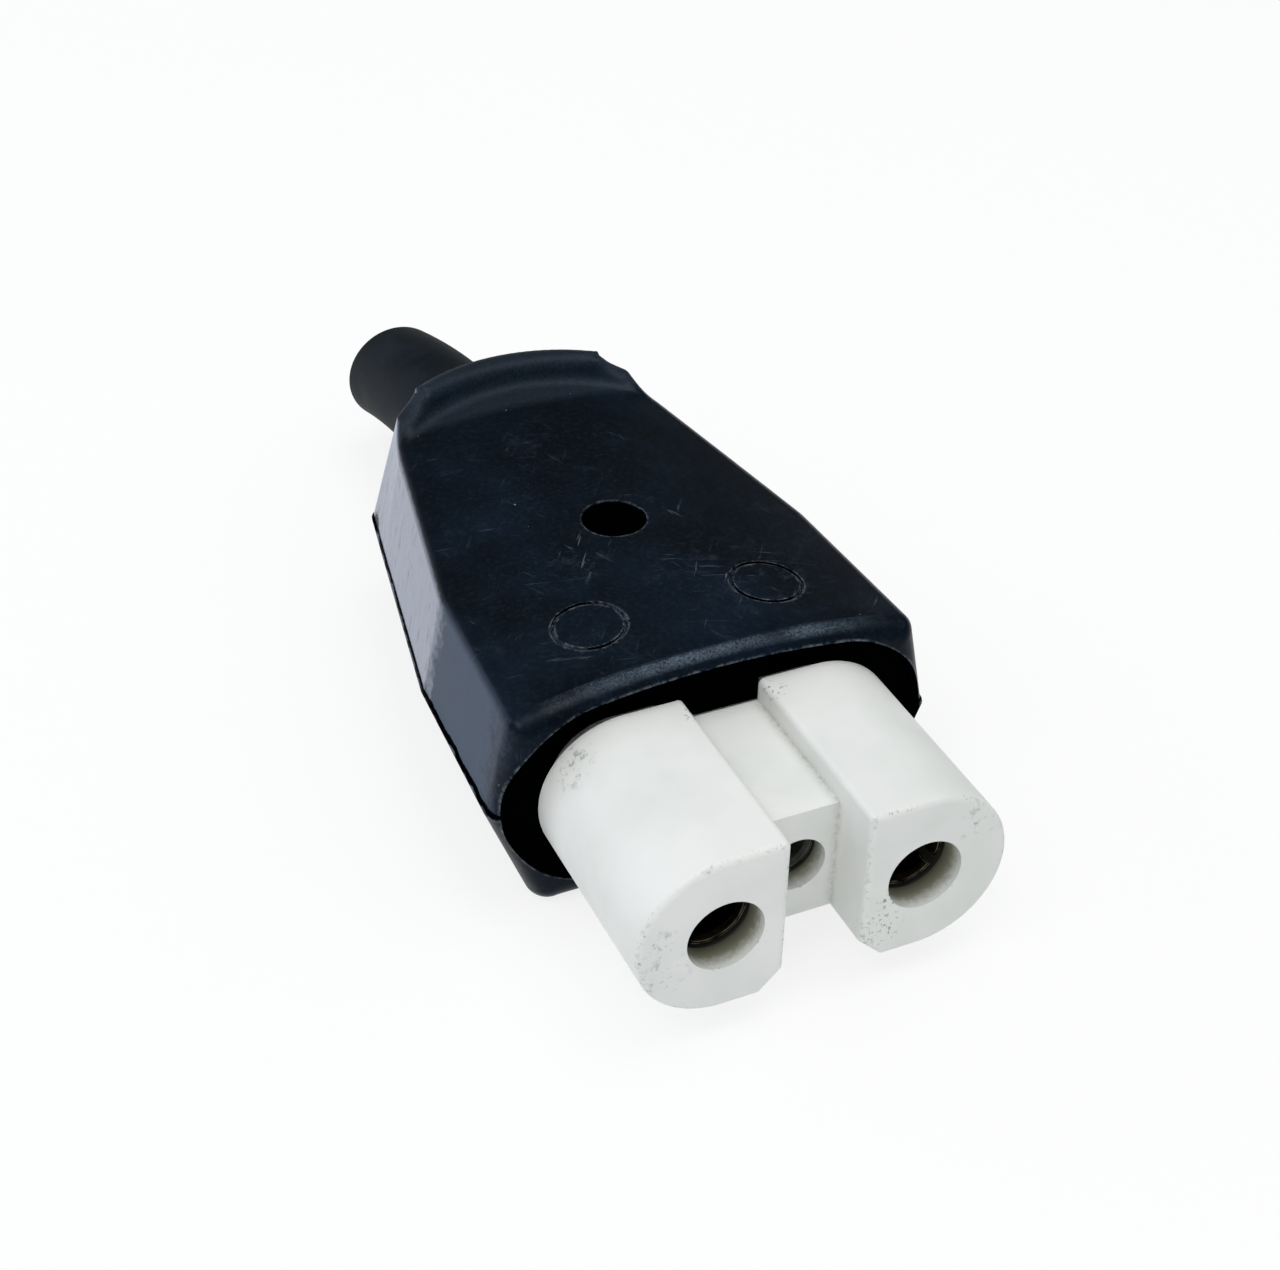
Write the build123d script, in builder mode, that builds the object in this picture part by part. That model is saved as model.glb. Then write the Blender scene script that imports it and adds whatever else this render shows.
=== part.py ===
from build123d import *
import os

os.makedirs("parts", exist_ok=True)

# Appliance connector, millimetres. +Z up, the prongs face -Y, X = 0 is the plane of symmetry.
# The origin is under the middle of the length, on the surface that the connector rests on.

# Whole connector
overall_length = 105.0
pin_height = 11.5  # pin axes and parting plane above the underside
pin_spacing = 19.0

# Porcelain head, seen from the front
prong_radius = 8.16
prong_gap = 7.5
centre_half_height = 5.83
notch_depth = 5.5
head_reach = 20.5  # porcelain that stands out of the mouth
face_round = 0.6
prong_corner = 2.2
line_hole_radius = 3.6
line_hole_depth = 2.8
line_chamber_radius = 4.3
earth_hole_radius = 2.75
earth_hole_depth = 2.0
earth_chamber_radius = 3.5
chamber_depth = 19.0
groove_setback = 0.5
groove_depth = 2.2
channel_relief = 1.5
flange_half_width = 16.8
flange_half_height = 8.8
flange_length = 3.0
deck_length = 10.0
deck_wall = 2.0
deck_floor = 3.5
deck_top = 5.2

# Contacts
tube_wall = 0.5
line_tube_bore = 3.05
earth_tube_bore = 2.4
tube_setback = 0.5
tube_back_gap = 1.5  # end of the tube before the back of its chamber
tube_slit = 0.9
slit_root = 4.0
line_slit_angle = 35.0
stem_wall = 1.15
stem_grip = 2.6
ring_setback = 4.0
ring_width = 2.6
ring_groove = 0.15
ring_thickness = 0.55
ring_gap = 1.6
block_height = 7.0
block_length = 8.5
line_block_width = 7.0
earth_block_width = 5.6
wire_hole_radius = 1.6
block_chamfer = 0.4
terminal_reach = 5.4  # terminal screw behind the front of its block
screw_radius = 1.5
terminal_head_radius = 2.5
terminal_head_height = 1.6
washer_thickness = 0.5

# Housing, plan sizes at the parting plane of the upper shell
upper_depth = 12.1
front_half_width = 22.0
bend_half_width = 20.9
waist_half_width = 16.6
rear_half_width = 15.2
bend_setback = 21.0  # these five run back from the lip of the mouth
screw_setback = 24.1
clamp_setback = 38.8
waist_setback = 44.5
shoulder_setback = 52.0
shell_length = 57.0
upper_draft = 2.5  # how far each side leans in over the height of its shell
lower_draft = 4.5
rear_lean = 2.4
crown_radius = 84.0  # the top face is arched across
parting_step = 0.35
parting_chamfer = 0.25
wall = 4.2
lip_wall = 1.2
front_round = 2.2
top_round = 1.3
underside_round = 2.2
bend_round = 2.4
shoulder_round = 2.0
overrun = 2.0  # how far a cut runs on past a face that it opens
mouth_half_width = 21.2
mouth_crown = 12.5  # half width of the arched middle of the mouth
mouth_depth = 3.1
partition_thickness = 2.4
cavity_back_setback = 43.6
rim_height = 2.4
rim_foot_setback = 51.3
rim_foot_radius = 22.4
rim_foot_round = 1.3
mark_spacing = 17.8
mark_setback = 9.5
mark_radius = 3.5
mark_line = 0.35
mark_depth = 0.25
stop_rib_width = 24.0
stop_rib_length = 2.0
dowel_radius = 1.1
dowel_height = 1.6
dowel_spacing = 22.0
dowel_setback = 8.0  # from the back end of the housing

# Screw that closes the housing
boss_radius = 4.8
head_well_radius = 3.14
screw_seat = 2.5  # seat of the screw above the parting plane
housing_head_height = 2.0
nut_across = 5.5
nut_height = 2.4
nut_seat = 5.6  # roof of the nut pocket below the parting plane

# Cord clamp
cord_radius = 3.6
clamp_spacing = 18.4
clamp_boss_radius = 3.4
clamp_boss_top = 1.0
clamp_width = 6.0
clamp_length = 24.0
clamp_thickness = 2.0
clamp_head_radius = 2.6
clamp_head_height = 1.9
insert_radius = 2.2
insert_length = 7.0
cradle_thickness = 2.0

# Cord sleeve
sleeve_radius = 6.4
sleeve_end_radius = 5.7
sleeve_flange_radius = 8.4
sleeve_flange_thickness = 3.2
sleeve_groove_setback = 45.9
sleeve_drop = 3.9
sleeve_swing = 1.5
sleeve_straight = 1.5
sleeve_trim = 2.5

# Clearances
fit_gap = 0.15
thread_gap = 0.05
slide_gap = 0.2

# Stations along Y
face_y = -overall_length / 2
lip_y = face_y + head_reach
groove_y = lip_y + groove_setback
partition_y = lip_y + mouth_depth
flange_y = partition_y + partition_thickness
deck_y = flange_y + flange_length
deck_back_y = deck_y + deck_length
bend_y = lip_y + bend_setback
screw_y = lip_y + screw_setback
clamp_y = lip_y + clamp_setback
waist_y = lip_y + waist_setback
shoulder_y = lip_y + shoulder_setback
rear_y = lip_y + shell_length
cavity_back_y = lip_y + cavity_back_setback
sleeve_groove_y = lip_y + sleeve_groove_setback
tube_back_y = face_y + chamber_depth - tube_back_gap
line_x = pin_spacing / 2
clamp_boss_z = pin_height + clamp_boss_top
side_slope = (bend_half_width - waist_half_width) / (waist_y - bend_y)
parting = Plane.XY.offset(pin_height)


def upright(y):
    """Plane square to the length, seen from the head, with its origin on the centre line."""
    return Plane(origin=(0, y, pin_height), x_dir=(1, 0, 0), z_dir=(0, -1, 0))


def finish(part, name):
    part.label = name
    export_step(part, f"parts/{name}.step")


# Plan outline of the housing: a parallel front, a tapering grip, a short waist and a bowed back end.
def plan_outline(plane, margin, lean):
    with BuildSketch(plane) as outline:
        with BuildLine():
            right = Polyline(
                (front_half_width + margin, lip_y),
                (bend_half_width + margin, bend_y),
                (waist_half_width + margin, waist_y),
                (rear_half_width + margin, shoulder_y - lean),
            )
            left = mirror(right, about=Plane.YZ)
            ThreePointArc(right @ 1, (0, rear_y - lean), left @ 1)
            Line(right @ 0, left @ 0)
        make_face()
        fillet(outline.vertices().group_by(Axis.Y)[3], shoulder_round)
        fillet(outline.vertices().group_by(Axis.Y)[1], bend_round)
    return outline.sketch


# Front outline of the porcelain: two round-backed prongs joined by a lower centre block.
def head_section(y, inset, channel_half_width, half_height):
    with BuildSketch(upright(y)) as section:
        SlotCenterToCenter(pin_spacing, 2 * (prong_radius - inset))
        with Locations((0, half_height + prong_radius), (0, -half_height - prong_radius)):
            Rectangle(2 * channel_half_width, 2 * prong_radius, mode=Mode.SUBTRACT)
    return section.sketch


# Everything that both shells leave open: mouth, neck opening, chamber, sleeve groove and cord exit.
with BuildPart() as hollow:
    with BuildSketch(upright(lip_y - overrun)):
        with BuildLine():
            roof_height = upper_depth - lip_wall
            floor_depth = pin_height - lip_wall
            roof_radius = crown_radius - lip_wall
            crown_drop = roof_radius - (roof_radius**2 - mouth_crown**2) ** 0.5
            roof = ThreePointArc(
                (-mouth_crown, roof_height - crown_drop),
                (0, roof_height),
                (mouth_crown, roof_height - crown_drop),
            )
            floor = ThreePointArc(
                (-mouth_crown, crown_drop - floor_depth),
                (0, -floor_depth),
                (mouth_crown, crown_drop - floor_depth),
            )
            TangentArc(roof @ 1, (mouth_half_width, 0), tangent=roof % 1)
            TangentArc(floor @ 1, (mouth_half_width, 0), tangent=floor % 1)
            TangentArc(roof @ 0, (-mouth_half_width, 0), tangent=(roof % 0) * -1)
            TangentArc(floor @ 0, (-mouth_half_width, 0), tangent=(floor % 0) * -1)
        make_face()
    extrude(amount=-(mouth_depth + overrun))
    neck_opening = head_section(
        partition_y,
        groove_depth - fit_gap,
        prong_gap / 2 + channel_relief - fit_gap,
        centre_half_height - groove_depth + fit_gap,
    )
    extrude(neck_opening, amount=-partition_thickness)
    with BuildSketch(parting):
        with BuildLine():
            back_half_width = waist_half_width + (waist_y - cavity_back_y) * side_slope - wall
            flank = Polyline(
                (front_half_width - wall, flange_y),
                (bend_half_width - wall, bend_y),
                (back_half_width, cavity_back_y),
            )
            other_flank = mirror(flank, about=Plane.YZ)
            Line(flank @ 0, other_flank @ 0)
            Line(flank @ 1, other_flank @ 1)
        make_face()
    extrude(amount=flange_half_height, both=True)
    with BuildSketch(upright(cavity_back_y)):
        Circle(sleeve_radius + slide_gap)
    extrude(amount=-(rear_y - cavity_back_y + overrun))
    with BuildSketch(upright(sleeve_groove_y)):
        Circle(sleeve_flange_radius + slide_gap)
    extrude(amount=-(sleeve_flange_thickness + slide_gap))

top_z = pin_height + upper_depth
rim_z = top_z + rim_height
full_rise = upper_depth + rim_height

# Room above the crowned top face, as far back as the foot of the rim.
with BuildPart() as above_top:
    with BuildSketch(parting):
        with BuildLine():
            bow_centre_y = lip_y + rim_foot_setback - rim_foot_radius
            bow = CenterArc((0, bow_centre_y), rim_foot_radius, 0, 180)
            Polyline(
                bow @ 0,
                (front_half_width + overrun, bow_centre_y),
                (front_half_width + overrun, lip_y - overrun),
                (-front_half_width - overrun, lip_y - overrun),
                (-front_half_width - overrun, bow_centre_y),
                bow @ 1,
            )
        make_face()
    extrude(amount=2 * full_rise)
    with BuildSketch(upright(lip_y - overrun)):
        with Locations((0, upper_depth - crown_radius)):
            Circle(crown_radius)
    extrude(amount=-(shell_length + 2 * overrun), mode=Mode.SUBTRACT)

# Two shallow ring marks that follow the crowned top.
with BuildPart() as mark_rings:
    with BuildSketch(Plane.XY.offset(top_z)):
        with Locations((-mark_spacing / 2, lip_y + mark_setback), (mark_spacing / 2, lip_y + mark_setback)):
            Circle(mark_radius)
            Circle(mark_radius - mark_line, mode=Mode.SUBTRACT)
    extrude(amount=-2 * crown_drop)
    with BuildSketch(upright(lip_y)):
        with Locations((0, upper_depth - crown_radius)):
            Circle(crown_radius - mark_depth)
    extrude(amount=-bend_setback, mode=Mode.SUBTRACT)

# Upper shell: a drafted body, cut down to the arched top face in front of the rim at its back end.
with BuildPart() as upper_shell:
    loft(
        sections=[
            plan_outline(parting, 0, 0),
            plan_outline(Plane.XY.offset(rim_z), -upper_draft * full_rise / upper_depth, rear_lean),
        ],
        ruled=True,
    )
    add(above_top.part, mode=Mode.SUBTRACT)
    rim_foot = upper_shell.edges().filter_by(
        lambda edge: abs((edge @ 0.5).X) < 1
        and abs((edge @ 0.5).Z - top_z) < 0.01
        and (edge @ 0.5).Y > screw_y
    )
    fillet(rim_foot, rim_foot_round)
    mouth_edges = upper_shell.faces().sort_by(Axis.Y)[0].edges()
    fillet(mouth_edges.filter_by(lambda edge: edge.center().Z > pin_height + 1), front_round)
    level_faces = upper_shell.faces().filter_by(lambda face: face.normal_at().Z > 0.9)
    crest = level_faces.sort_by(Axis.Z)[-1].edges()
    top_sides = level_faces.sort_by(SortBy.AREA)[-1].edges().filter_by(
        lambda edge: abs(edge.center().X) > mouth_crown and edge.center().Y > lip_y + front_round / 2
    )
    fillet(crest + top_sides, top_round)
    add(hollow.part, mode=Mode.SUBTRACT)
    with BuildSketch(parting):
        with Locations((0, screw_y)):
            Circle(boss_radius)
    extrude(amount=flange_half_height)
    with BuildSketch(Plane.XY.offset(pin_height + flange_half_height)):
        with Locations((0, deck_y + fit_gap + stop_rib_length / 2)):
            Rectangle(stop_rib_width, stop_rib_length)
    extrude(amount=-(flange_half_height - deck_top) / 2)
    with Locations((0, screw_y, top_z)):
        CounterBoreHole(screw_radius + slide_gap, head_well_radius, upper_depth - screw_seat)
    with Locations(*[(side * dowel_spacing / 2, rear_y - dowel_setback, pin_height) for side in (-1, 1)]):
        Cylinder(
            dowel_radius + fit_gap,
            dowel_height + fit_gap,
            align=(Align.CENTER, Align.CENTER, Align.MIN),
            mode=Mode.SUBTRACT,
        )
    add(mark_rings.part, mode=Mode.SUBTRACT)
finish(upper_shell.part, "upper_shell")

# Lower shell: a little wider, so that its top edge shows as a ledge, with a well rounded underside.
with BuildPart() as lower_shell:
    loft(
        sections=[
            plan_outline(parting, parting_step, 0),
            plan_outline(Plane.XY, parting_step - lower_draft, rear_lean),
        ],
        ruled=True,
    )
    front_corners = lower_shell.edges().filter_by(
        lambda edge: (edge @ 0.5).Y < lip_y + rear_lean and abs((edge @ 0).Z - (edge @ 1).Z) > pin_height / 2
    )
    fillet(front_corners, underside_round)
    fillet(lower_shell.faces().sort_by(Axis.Z)[0].edges(), underside_round)
    chamfer(lower_shell.faces().sort_by(Axis.Z)[-1].edges(), parting_chamfer)
    add(hollow.part, mode=Mode.SUBTRACT)
    with BuildSketch(parting):
        with Locations((0, screw_y)):
            Circle(boss_radius)
    extrude(amount=-flange_half_height)
    with BuildSketch(Plane.XY.offset(pin_height - flange_half_height)):
        with Locations((-clamp_spacing / 2, clamp_y), (clamp_spacing / 2, clamp_y)):
            Circle(clamp_boss_radius)
    extrude(amount=flange_half_height + clamp_boss_top)
    with BuildSketch(Plane.XY.offset(pin_height - flange_half_height)):
        with Locations((0, clamp_y)):
            Rectangle(clamp_spacing, cradle_thickness)
        with Locations((0, deck_y + fit_gap + stop_rib_length / 2)):
            Rectangle(stop_rib_width, stop_rib_length)
    extrude(amount=(flange_half_height - deck_floor) / 2 - 1)
    with Locations(*[(side * clamp_spacing / 2, clamp_y, clamp_boss_z) for side in (-1, 1)]):
        Hole(insert_radius + thread_gap, insert_length)
    with Locations((0, screw_y, 0)):
        Hole(screw_radius + slide_gap)
    with BuildSketch(Plane.XY):
        with Locations((0, screw_y)):
            RegularPolygon(nut_across / 2 + fit_gap, 6, major_radius=False)
    extrude(amount=pin_height - nut_seat, mode=Mode.SUBTRACT)
    with Locations(*[(side * dowel_spacing / 2, rear_y - dowel_setback, pin_height) for side in (-1, 1)]):
        Cylinder(dowel_radius, dowel_height, align=(Align.CENTER, Align.CENTER, Align.MIN))
finish(lower_shell.part, "lower_shell")

# Porcelain head: prongs and centre block in front, a groove for the shells, a flange and the terminal deck.
with BuildPart() as porcelain_head:
    extrude(head_section(face_y, 0, prong_gap / 2, centre_half_height), amount=-(groove_y - face_y))
    with BuildSketch(upright(face_y)):
        Rectangle(prong_gap, 4 * prong_radius)
    extrude(amount=-notch_depth, mode=Mode.SUBTRACT)
    inner_corners = porcelain_head.edges().filter_by(Axis.Y).filter_by(
        lambda edge: abs(abs(edge.center().X) - prong_gap / 2) < 0.01
    )
    chamfer(inner_corners.group_by(Axis.Z)[0], prong_corner)
    fillet(inner_corners.group_by(Axis.Z)[-1], face_round)
    prong_faces = porcelain_head.faces().sort_by(Axis.Y)[:2]
    fillet(prong_faces[0].edges() + prong_faces[1].edges(), face_round)
    extrude(
        head_section(
            groove_y,
            groove_depth,
            prong_gap / 2 + channel_relief,
            centre_half_height - groove_depth,
        ),
        amount=-(flange_y - groove_y),
    )
    with BuildSketch(upright(flange_y)):
        Rectangle(2 * flange_half_width, 2 * flange_half_height)
    extrude(amount=-flange_length)
    with BuildSketch(upright(deck_y)):
        with Locations((0, (deck_top - deck_floor * 2) / 2)):
            Rectangle(pin_spacing + line_block_width + 2 * (slide_gap + deck_wall), deck_top + deck_floor * 2)
    extrude(amount=-deck_length)
    with BuildSketch(upright(deck_y)):
        for x, width in ((-line_x, line_block_width), (0, earth_block_width), (line_x, line_block_width)):
            with Locations((x, (deck_top - block_height / 2) / 2)):
                Rectangle(width + 2 * slide_gap, deck_top + block_height / 2)
    extrude(amount=-deck_length, mode=Mode.SUBTRACT)
    for x in (-line_x, line_x):
        with BuildSketch(upright(face_y)):
            with Locations((x, 0)):
                Circle(line_hole_radius)
        extrude(amount=-line_hole_depth, mode=Mode.SUBTRACT)
        with BuildSketch(upright(face_y + line_hole_depth)):
            with Locations((x, 0)):
                Circle(line_chamber_radius)
        extrude(amount=-(chamber_depth - line_hole_depth), mode=Mode.SUBTRACT)
        with BuildSketch(upright(face_y + chamber_depth)):
            with Locations((x, 0)):
                Circle(line_tube_bore + tube_wall - stem_wall + fit_gap)
        extrude(amount=-(deck_y - face_y - chamber_depth), mode=Mode.SUBTRACT)
    with BuildSketch(upright(face_y + notch_depth)):
        Circle(earth_hole_radius)
    extrude(amount=-earth_hole_depth, mode=Mode.SUBTRACT)
    with BuildSketch(upright(face_y + notch_depth + earth_hole_depth)):
        Circle(earth_chamber_radius)
    extrude(amount=-(chamber_depth - notch_depth - earth_hole_depth), mode=Mode.SUBTRACT)
    with BuildSketch(upright(face_y + chamber_depth)):
        Circle(earth_tube_bore + tube_wall - stem_wall + fit_gap)
    extrude(amount=-(deck_y - face_y - chamber_depth), mode=Mode.SUBTRACT)
finish(porcelain_head.part, "porcelain_head")


# Slit spring tube that grips a pin, with a stem that runs back into its terminal block.
def socket_tube(name, x, front_y, bore, slit_angle):
    outer = bore + tube_wall
    stem = outer - stem_wall
    with BuildPart() as tube:
        with BuildSketch(parting):
            with BuildLine():
                Polyline(
                    (x + bore, tube_back_y),
                    (x + bore, front_y + tube_wall),
                    (x + bore + tube_wall / 2, front_y),
                    (x + outer, front_y),
                    (x + outer, front_y + ring_setback),
                    (x + outer - ring_groove, front_y + ring_setback),
                    (x + outer - ring_groove, front_y + ring_setback + ring_width),
                    (x + outer, front_y + ring_setback + ring_width),
                    (x + outer, tube_back_y),
                    (x + stem, tube_back_y + stem_wall),
                    (x + stem, deck_y + stem_grip),
                    (x, deck_y + stem_grip),
                    (x, tube_back_y),
                    close=True,
                )
            make_face()
        revolve(axis=Axis((x, 0, pin_height), (0, 1, 0)))
        with BuildSketch(upright(front_y)):
            with Locations((x, 0)):
                Rectangle(2 * outer + 1, tube_slit, rotation=slit_angle)
        extrude(amount=-(tube_back_y - slit_root - front_y), mode=Mode.SUBTRACT)
    finish(tube.part, name)


# Open steel ring that closes the slit tube onto the pin.
def spring_ring(name, x, front_y, bore, gap_angle):
    inner = bore + tube_wall - ring_groove + thread_gap
    with BuildPart() as ring:
        with BuildSketch(upright(front_y + ring_setback)):
            with Locations((x, 0)):
                Circle(inner + ring_thickness)
                Circle(inner, mode=Mode.SUBTRACT)
            with Locations(Location((x, 0), gap_angle)):
                with Locations((inner, 0)):
                    Rectangle(2 * inner, ring_gap, mode=Mode.SUBTRACT)
        extrude(amount=-ring_width)
    finish(ring.part, name)


# Brass block: stem hole in front, wire hole behind, terminal screw hole from the top.
def terminal_block(name, x, width, bore):
    with BuildPart() as block:
        with BuildSketch(upright(deck_y)):
            with Locations((x, 0)):
                Rectangle(width, block_height)
        extrude(amount=-block_length)
        chamfer(block.edges().filter_by(Axis.Y), block_chamfer)
        with BuildSketch(upright(deck_y)):
            with Locations((x, 0)):
                Circle(bore + tube_wall - stem_wall + thread_gap)
        extrude(amount=-stem_grip, mode=Mode.SUBTRACT)
        with BuildSketch(upright(deck_y + block_length)):
            with Locations((x, 0)):
                Circle(wire_hole_radius)
        extrude(amount=block_length - stem_grip - 1, mode=Mode.SUBTRACT)
        with Locations((x, deck_y + terminal_reach, pin_height + block_height / 2)):
            Hole(screw_radius + thread_gap, block_height / 2)
    finish(block.part, name)


# Slotted cheese-head screw that points down from its seat.
def slotted_screw(name, x, y, seat_z, head_radius, head_height, length):
    with BuildPart() as screw:
        with BuildSketch(Plane.XY.offset(seat_z)):
            with Locations((x, y)):
                Circle(head_radius)
        extrude(amount=head_height)
        fillet(screw.edges().sort_by(Axis.Z)[-1], head_height / 4)
        with BuildSketch(Plane.XY.offset(seat_z)):
            with Locations((x, y)):
                Circle(screw_radius)
        extrude(amount=-length)
        chamfer(screw.edges().sort_by(Axis.Z)[0], screw_radius / 4)
        with BuildSketch(Plane.XY.offset(seat_z + head_height)):
            with Locations((x, y)):
                Rectangle(2 * head_radius + 1, head_radius / 3.5)
        extrude(amount=-head_height / 2, mode=Mode.SUBTRACT)
    finish(screw.part, name)


def washer(name, x, y, seat_z, outer_radius):
    with BuildPart() as ring:
        with BuildSketch(Plane.XY.offset(seat_z)):
            with Locations((x, y)):
                Circle(outer_radius)
                Circle(screw_radius + slide_gap, mode=Mode.SUBTRACT)
        extrude(amount=washer_thickness)
    finish(ring.part, name)


block_top = pin_height + block_height / 2
line_front_y = face_y + line_hole_depth + tube_setback
earth_front_y = face_y + notch_depth + earth_hole_depth + tube_setback
socket_tube("left_socket_tube", -line_x, line_front_y, line_tube_bore, line_slit_angle)
socket_tube("right_socket_tube", line_x, line_front_y, line_tube_bore, -line_slit_angle)
socket_tube("earth_socket_tube", 0, earth_front_y, earth_tube_bore, 90)
spring_ring("left_spring_ring", -line_x, line_front_y, line_tube_bore, 180)
spring_ring("right_spring_ring", line_x, line_front_y, line_tube_bore, 0)
spring_ring("earth_spring_ring", 0, earth_front_y, earth_tube_bore, 180)
for side, x, width, bore in (
    ("left", -line_x, line_block_width, line_tube_bore),
    ("right", line_x, line_block_width, line_tube_bore),
    ("earth", 0, earth_block_width, earth_tube_bore),
):
    screw_seat_z = block_top + washer_thickness
    terminal_y = deck_y + terminal_reach
    terminal_block(f"{side}_terminal_block", x, width, bore)
    washer(f"{side}_terminal_washer", x, terminal_y, block_top, terminal_head_radius)
    slotted_screw(
        f"{side}_terminal_screw",
        x,
        terminal_y,
        screw_seat_z,
        terminal_head_radius,
        terminal_head_height,
        washer_thickness + block_height / 2 - wire_hole_radius,
    )

# Screw and nut that hold the two shells together.
housing_seat_z = pin_height + screw_seat
washer("housing_washer", 0, screw_y, housing_seat_z, head_well_radius - slide_gap)
slotted_screw(
    "housing_screw",
    0,
    screw_y,
    housing_seat_z + washer_thickness,
    head_well_radius - 2 * slide_gap,
    housing_head_height,
    washer_thickness + screw_seat + nut_seat + nut_height + 1,
)
with BuildPart() as housing_nut:
    with BuildSketch(Plane.XY.offset(pin_height - nut_seat)):
        with Locations((0, screw_y)):
            RegularPolygon(nut_across / 2, 6, major_radius=False)
            Circle(screw_radius + thread_gap, mode=Mode.SUBTRACT)
    extrude(amount=-nut_height)
finish(housing_nut.part, "housing_nut")

# Cord clamp: an arched bar on two bosses, drawn down by screws into brass inserts.
clamp_outside = cord_radius + clamp_thickness
clamp_top_z = clamp_boss_z + clamp_thickness
with BuildPart() as cord_clamp:
    with BuildSketch(upright(clamp_y - clamp_width / 2)):
        Circle(clamp_outside)
        with Locations((0, clamp_boss_top - clamp_outside)):
            Rectangle(3 * clamp_outside, 2 * clamp_outside, mode=Mode.SUBTRACT)
        with Locations((0, clamp_boss_top + clamp_thickness / 2)):
            Rectangle(clamp_length, clamp_thickness)
        Circle(cord_radius, mode=Mode.SUBTRACT)
    extrude(amount=-clamp_width)
    fillet(cord_clamp.edges().filter_by(Axis.Z).group_by(Axis.X)[0], clamp_thickness)
    fillet(cord_clamp.edges().filter_by(Axis.Z).group_by(Axis.X)[-1], clamp_thickness)
    with Locations(*[(side * clamp_spacing / 2, clamp_y, clamp_top_z) for side in (-1, 1)]):
        Hole(screw_radius + slide_gap, clamp_thickness)
finish(cord_clamp.part, "cord_clamp")
for side, x in (("left", -clamp_spacing / 2), ("right", clamp_spacing / 2)):
    slotted_screw(
        f"{side}_clamp_screw",
        x,
        clamp_y,
        clamp_top_z,
        clamp_head_radius,
        clamp_head_height,
        clamp_thickness + insert_length - 1,
    )
    with BuildPart() as insert:
        with BuildSketch(Plane.XY.offset(clamp_boss_z - insert_length)):
            with Locations((x, clamp_y)):
                Circle(insert_radius)
                Circle(screw_radius + thread_gap, mode=Mode.SUBTRACT)
        extrude(amount=insert_length - slide_gap)
    finish(insert.part, f"{side}_clamp_insert")

# Rubber cord sleeve: a flange held in the groove of the shells and a tube that droops a little.
bend_start = (0, rear_y + sleeve_straight, pin_height)
sleeve_end = (-sleeve_swing, overall_length / 2 + sleeve_trim, pin_height - sleeve_drop)


def sleeve_tube(base_radius, end_radius):
    with BuildPart() as tube:
        bend = TangentArc(bend_start, sleeve_end, tangent=(0, 1, 0), mode=Mode.PRIVATE)
        with BuildSketch(upright(sleeve_groove_y)) as first:
            Circle(base_radius)
        with BuildSketch(upright(rear_y + sleeve_straight)) as second:
            Circle(base_radius)
        with BuildSketch(Plane(bend ^ 0.5)) as third:
            Circle((base_radius + end_radius) / 2)
        with BuildSketch(Plane(bend ^ 1)) as fourth:
            Circle(end_radius)
        loft(sections=[first.sketch, second.sketch], ruled=True)
        loft(sections=[second.sketch, third.sketch, fourth.sketch])
    return tube.part


with BuildPart() as cord_sleeve:
    add(sleeve_tube(sleeve_radius, sleeve_end_radius))
    with BuildSketch(upright(sleeve_groove_y)):
        Circle(sleeve_flange_radius)
    extrude(amount=-sleeve_flange_thickness)
    add(sleeve_tube(cord_radius, cord_radius), mode=Mode.SUBTRACT)
    split(bisect_by=Plane.XZ.offset(-overall_length / 2), keep=Keep.TOP)
finish(cord_sleeve.part, "cord_sleeve")
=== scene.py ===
import math

import bmesh
import bpy
from mathutils import Matrix, Vector

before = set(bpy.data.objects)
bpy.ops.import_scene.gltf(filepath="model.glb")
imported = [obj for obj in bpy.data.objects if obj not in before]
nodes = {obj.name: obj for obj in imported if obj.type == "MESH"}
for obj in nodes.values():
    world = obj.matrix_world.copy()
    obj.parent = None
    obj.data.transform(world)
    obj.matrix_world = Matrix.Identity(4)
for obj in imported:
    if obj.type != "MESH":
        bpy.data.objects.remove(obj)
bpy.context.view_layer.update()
print("frame loaded:", len(nodes), "nodes")


def linearColour(code):  # sRGB hex to linear, with alpha
    parts = [int(code[i:i + 2], 16) / 255 for i in (1, 3, 5)]
    return [p / 12.92 if p <= 0.04045 else ((p + 0.055) / 1.055) ** 2.4 for p in parts] + [1.0]


def perMetre(millimetres):  # texture scale of a pattern whose features are this big
    return 1000 / millimetres


# Adds a node and gives one of its outputs, or all of them where output is None.
# Inputs come in the node's own order, or by socket in a dictionary. A socket is linked, a value is set.
def addNode(tree, kind, inputs=(), output=0, **settings):
    node = tree.nodes.new("ShaderNode" + kind)
    for name, value in settings.items():
        setattr(node, name, value)
    for socket, value in inputs.items() if isinstance(inputs, dict) else enumerate(inputs):
        if isinstance(value, bpy.types.NodeSocket):
            tree.links.new(value, node.inputs[socket])
        else:
            node.inputs[socket].default_value = value
    return node.outputs if output is None else node.outputs[output]


def newMaterial(name, look):  # with the look's colours and its grains: size in mm, detail, roughness
    material = bpy.data.materials.new(name)
    material.use_nodes = True
    tree = material.node_tree
    tree.nodes.clear()
    place = addNode(tree, "TexCoord", output="Object")
    colours = {colour: linearColour(code) for colour, code in look["colours"].items()}
    grains = {}
    for grain, (size, detail, roughness) in look["grains"].items():
        grains[grain] = addNode(tree, "TexNoise", {
            "Vector": place, "Scale": perMetre(size), "Detail": detail, "Roughness": roughness})
    return material, tree, place, colours, grains


def finishMaterial(tree, sockets):
    shader = addNode(tree, "BsdfPrincipled", sockets)
    addNode(tree, "OutputMaterial", {"Surface": shader}, None)


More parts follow.
